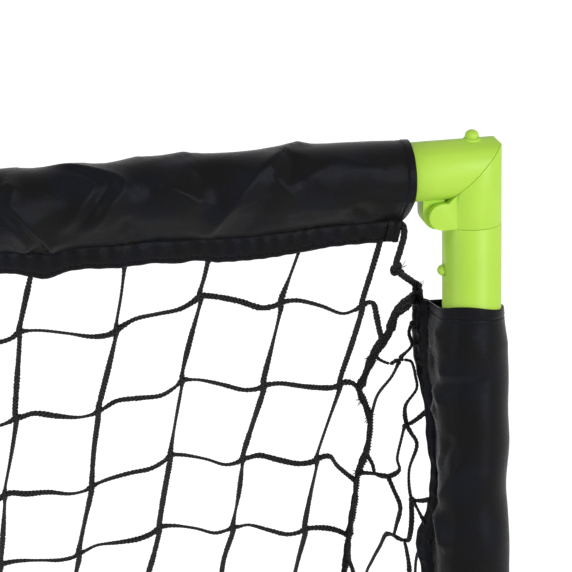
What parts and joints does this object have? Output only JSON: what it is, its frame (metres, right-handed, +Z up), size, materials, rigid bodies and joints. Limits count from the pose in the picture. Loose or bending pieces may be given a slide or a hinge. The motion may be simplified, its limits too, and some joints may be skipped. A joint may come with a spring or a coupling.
{
  "type": "hockey goal net",
  "caption": "Knock-down street hockey goal: lime plug-together tube frame with hinged mitred top corners and snap tongues, black cloth sleeves, slack mesh back and side nets.",
  "frame": {"origin": "on the floor, under the centre of the goal's bounding box", "axes": "+Z up, +X along the crossbar, -Y out of the mouth, +Y towards the net"},
  "size_m": [0.9172, 0.4264, 0.615],
  "materials": {
    "lime_plastic": "satin moulded plastic",
    "black_polyester": "coated woven polyester with a slight sheen",
    "black_cord": "flat braided cord",
    "pin_steel": "plain turned pin"
  },
  "bodies": {
    "goal_frame": {"crossbar_tube": "lime_plastic", "post_tube_L": "lime_plastic", "post_tube_R": "lime_plastic", "side_tube_L": "lime_plastic", "side_tube_R": "lime_plastic", "rear_tube": "lime_plastic", "top_corner_bar_half_L": "lime_plastic", "top_corner_bar_half_R": "lime_plastic", "top_corner_post_half_L": "lime_plastic", "top_corner_post_half_R": "lime_plastic", "foot_elbow_L": "lime_plastic", "foot_elbow_R": "lime_plastic", "rear_elbow_L": "lime_plastic", "rear_elbow_R": "lime_plastic", "corner_pin_L": "pin_steel", "corner_pin_R": "pin_steel", "crossbar_sleeve": "black_polyester", "crossbar_tape": "black_polyester", "post_sleeve_L": "black_polyester", "post_sleeve_R": "black_polyester", "post_tape_L": "black_polyester", "post_tape_R": "black_polyester", "side_sleeve_L": "black_polyester", "side_sleeve_R": "black_polyester", "side_tape_L": "black_polyester", "side_tape_R": "black_polyester", "rear_sleeve": "black_polyester", "rear_tape": "black_polyester", "back_net": "black_cord", "side_net_L": "black_cord", "side_net_R": "black_cord", "edge_rope_L": "black_cord", "edge_rope_R": "black_cord", "corner_tie_L": "black_cord", "corner_tie_R": "black_cord"},
    "release_button_L": {"release_button_L": "lime_plastic"},
    "release_button_R": {"release_button_R": "lime_plastic"},
    "bar_snap_L": {"bar_snap_L": "lime_plastic"},
    "bar_snap_R": {"bar_snap_R": "lime_plastic"},
    "post_top_snap_L": {"post_top_snap_L": "lime_plastic"},
    "post_top_snap_R": {"post_top_snap_R": "lime_plastic"},
    "post_foot_snap_L": {"post_foot_snap_L": "lime_plastic"},
    "post_foot_snap_R": {"post_foot_snap_R": "lime_plastic"},
    "side_front_snap_L": {"side_front_snap_L": "lime_plastic"},
    "side_front_snap_R": {"side_front_snap_R": "lime_plastic"},
    "side_rear_snap_L": {"side_rear_snap_L": "lime_plastic"},
    "side_rear_snap_R": {"side_rear_snap_R": "lime_plastic"},
    "rear_snap_L": {"rear_snap_L": "lime_plastic"},
    "rear_snap_R": {"rear_snap_R": "lime_plastic"}
  },
  "joints": [
    {"name": "release_L", "type": "slide", "parent": "goal_frame", "child": "release_button_L", "axis": [0, 0, -1], "range_m": [0, 0.004], "stiffness_N_per_m": 800},
    {"name": "release_R", "type": "slide", "parent": "goal_frame", "child": "release_button_R", "axis": [0, 0, -1], "range_m": [0, 0.004], "stiffness_N_per_m": 800},
    {"name": "bar_press_L", "type": "hinge", "parent": "goal_frame", "child": "bar_snap_L", "pos_m": [-0.397, -0.19412, 0.5822], "axis": [0, -1, 0], "range_deg": [0, 15], "stiffness_Nm_per_rad": 1.2},
    {"name": "bar_press_R", "type": "hinge", "parent": "goal_frame", "child": "bar_snap_R", "pos_m": [0.397, -0.19412, 0.5822], "axis": [0, 1, 0], "range_deg": [0, 15], "stiffness_Nm_per_rad": 1.2},
    {"name": "post_top_press_L", "type": "hinge", "parent": "goal_frame", "child": "post_top_snap_L", "pos_m": [-0.4292, -0.19412, 0.558], "axis": [0, 1, 0], "range_deg": [0, 15], "stiffness_Nm_per_rad": 1.2},
    {"name": "post_top_press_R", "type": "hinge", "parent": "goal_frame", "child": "post_top_snap_R", "pos_m": [0.4292, -0.19412, 0.558], "axis": [0, -1, 0], "range_deg": [0, 15], "stiffness_Nm_per_rad": 1.2},
    {"name": "post_foot_press_L", "type": "hinge", "parent": "goal_frame", "child": "post_foot_snap_L", "pos_m": [-0.4292, -0.19412, 0.0548], "axis": [0, -1, 0], "range_deg": [0, 15], "stiffness_Nm_per_rad": 1.2},
    {"name": "post_foot_press_R", "type": "hinge", "parent": "goal_frame", "child": "post_foot_snap_R", "pos_m": [0.4292, -0.19412, 0.0548], "axis": [0, 1, 0], "range_deg": [0, 15], "stiffness_Nm_per_rad": 1.2},
    {"name": "side_front_press_L", "type": "hinge", "parent": "goal_frame", "child": "side_front_snap_L", "pos_m": [-0.4292, -0.15812, 0.0188], "axis": [0, 0, 1], "range_deg": [0, 15], "stiffness_Nm_per_rad": 1.2},
    {"name": "side_front_press_R", "type": "hinge", "parent": "goal_frame", "child": "side_front_snap_R", "pos_m": [0.4292, -0.15812, 0.0188], "axis": [0, 0, -1], "range_deg": [0, 15], "stiffness_Nm_per_rad": 1.2},
    {"name": "side_rear_press_L", "type": "hinge", "parent": "goal_frame", "child": "side_rear_snap_L", "pos_m": [-0.4292, 0.15988, 0.0188], "axis": [0, 0, -1], "range_deg": [0, 15], "stiffness_Nm_per_rad": 1.2},
    {"name": "side_rear_press_R", "type": "hinge", "parent": "goal_frame", "child": "side_rear_snap_R", "pos_m": [0.4292, 0.15988, 0.0188], "axis": [0, 0, 1], "range_deg": [0, 15], "stiffness_Nm_per_rad": 1.2},
    {"name": "rear_press_L", "type": "hinge", "parent": "goal_frame", "child": "rear_snap_L", "pos_m": [-0.405, 0.19588, 0.0306], "axis": [0, 1, 0], "range_deg": [0, 15], "stiffness_Nm_per_rad": 1.2},
    {"name": "rear_press_R", "type": "hinge", "parent": "goal_frame", "child": "rear_snap_R", "pos_m": [0.405, 0.19588, 0.0306], "axis": [0, -1, 0], "range_deg": [0, 15], "stiffness_Nm_per_rad": 1.2}
  ]
}
